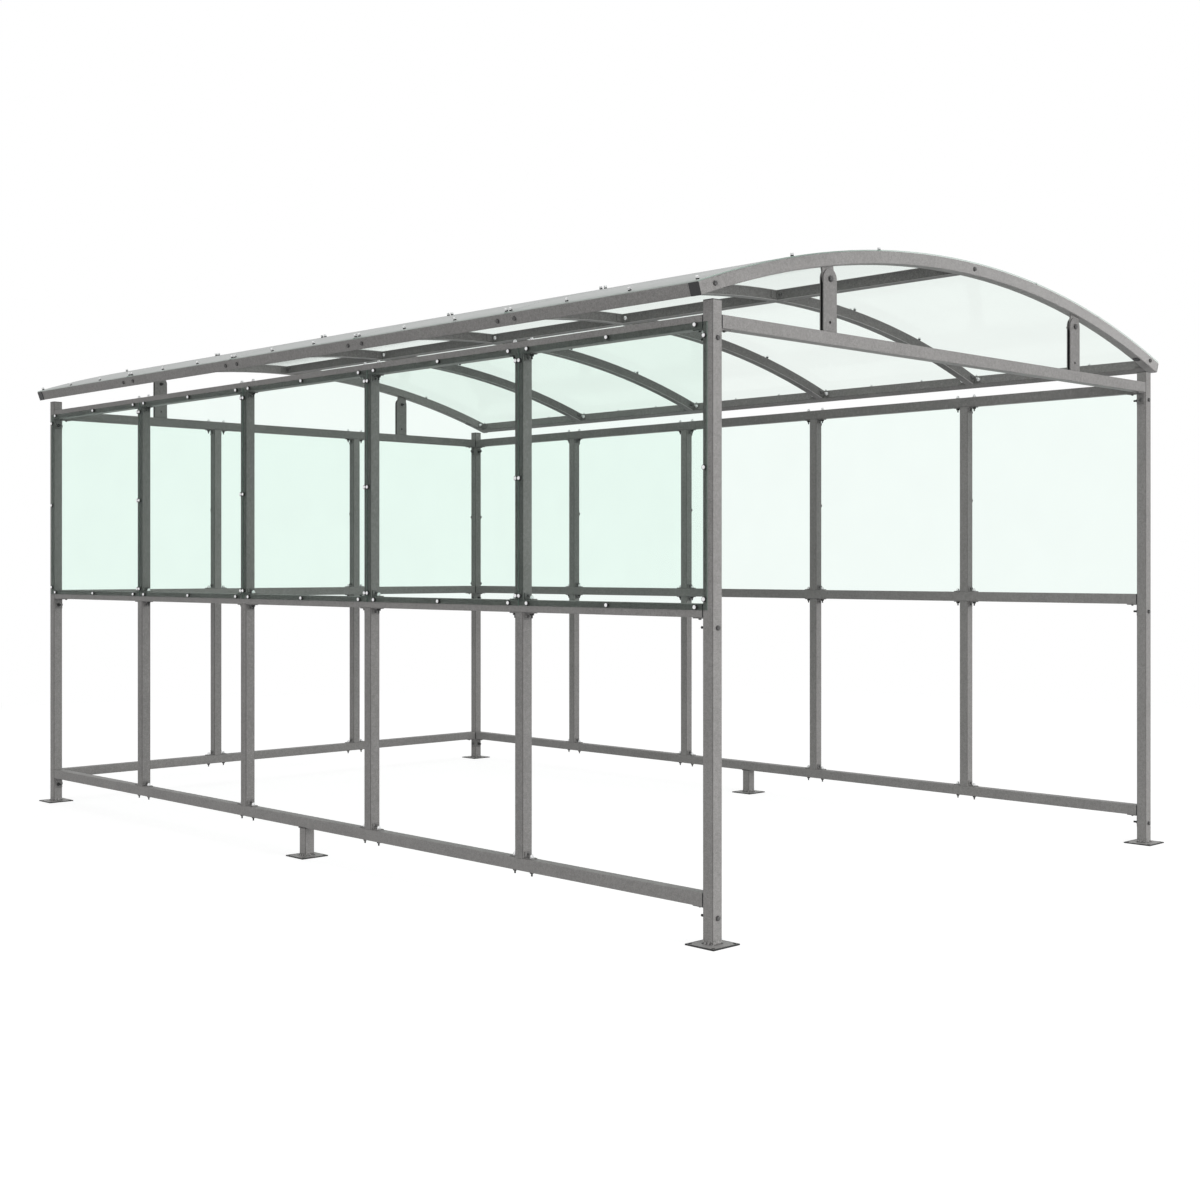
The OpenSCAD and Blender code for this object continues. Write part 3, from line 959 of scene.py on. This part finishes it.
studio = {
    "white": (1.0, 1.0, 1.0, 1.0),
    "black": (0.0, 0.0, 0.0, 1.0),
    "floorSize": 80.0,
    "floorColour": (0.45, 0.45, 0.45, 1.0),
    "floorLift": 0.76,
    "floorNear": 5.0,
    "floorFar": 9.0,
    "ambient": 0.42,
    "lamps": {
        "keyLamp": {"place": (5.0, -15.5, 2.2), "size": 7.0, "power": 760.0},
        "fillLamp": {"place": (-17.0, -10.0, 1.5), "size": 7.0, "power": 1560.0},
        "frontLamp": {"place": (-1.0, -9.0, 1.8), "size": 4.0, "power": 205.0},
        "backLamp": {"place": (10.0, 16.0, 2.5), "size": 7.0, "power": 800.0},
        "topLamp": {"place": (0.0, 0.0, 11.0), "size": 9.0, "power": 220.0},
    },
    "aim": (0.0, 0.0, 1.2),
}


def seenDirectly(wire):
    # 1 for what the camera, a reflection or a clear sheet shows, 0 for scattered light
    kinds = ("Camera", "Glossy", "Transmission")
    return sum(wire.add("ShaderNodeLightPath", output=f"Is {kind} Ray") for kind in kinds)


startClean()
bpy.ops.mesh.primitive_plane_add(size=studio["floorSize"], location=(0, 0, 0))
floor = bpy.context.object
floor.name = "studioFloor"
floorFinish, wire, place = newMaterial("paleFloor")
distance = wire.add("ShaderNodeVectorMath", {"operation": "LENGTH"}, {0: place}, "Value")
far = spread(wire, distance, studio["floorNear"], studio["floorFar"])
lift = spread(wire, far, 0.0, 1.0, studio["floorLift"], 1.0)
tone = mixColour(wire, far, studio["floorColour"], studio["black"])
matt = wire.add("ShaderNodeBsdfDiffuse", None, {"Color": tone})
glow = wire.add("ShaderNodeEmission", None, {"Color": studio["white"], "Strength": seenDirectly(wire) * lift})
finishMaterial(wire, wire.add("ShaderNodeAddShader", None, {0: matt, 1: glow}))
paint(floor, floorFinish)

world = bpy.data.worlds.new("studioWorld")
scene.world = world
world.use_nodes = True
world.node_tree.nodes.clear()
wire = Wire(world.node_tree)
shown = wire.sum("MINIMUM", seenDirectly(wire), 1.0)
strength = wire.sum("MAXIMUM", shown, studio["ambient"])
sky = wire.add("ShaderNodeBackground", None, {"Color": studio["white"], "Strength": strength})
wire.add("ShaderNodeOutputWorld", inputs={"Surface": sky})


def addLamp(name, place, size, power):
    lamp = bpy.data.lights.new(name, "AREA")
    lamp.shape = "SQUARE"
    lamp.size = size
    lamp.energy = power
    holder = bpy.data.objects.new(name, lamp)
    scene.collection.objects.link(holder)
    holder.location = place
    holder.rotation_euler = (Vector(studio["aim"]) - Vector(place)).to_track_quat("-Z", "Y").to_euler()
    holder.visible_camera = False
    holder.visible_glossy = False


for lampName, settings in studio["lamps"].items():
    addLamp(lampName, **settings)


# Camera

view = {
    "place": (-5.6954, -6.3959, 1.3041),
    "turn": (90.0, 0.0, -45.034),
    "sensor": 36.0,
    "lens": 49.695,
    "shift": (-0.0434, -0.02705),
    "clipEnd": 200.0,
}

cameraData = bpy.data.cameras.new("photoCamera")
cameraData.sensor_width = view["sensor"]
cameraData.lens = view["lens"]
cameraData.shift_x, cameraData.shift_y = view["shift"]
cameraData.clip_end = view["clipEnd"]
camera = bpy.data.objects.new("photoCamera", cameraData)
scene.collection.objects.link(camera)
camera.location = view["place"]
camera.rotation_euler = [math.radians(angle) for angle in view["turn"]]
scene.camera = camera
scene.view_settings.view_transform = "Standard"
print("studio ready")
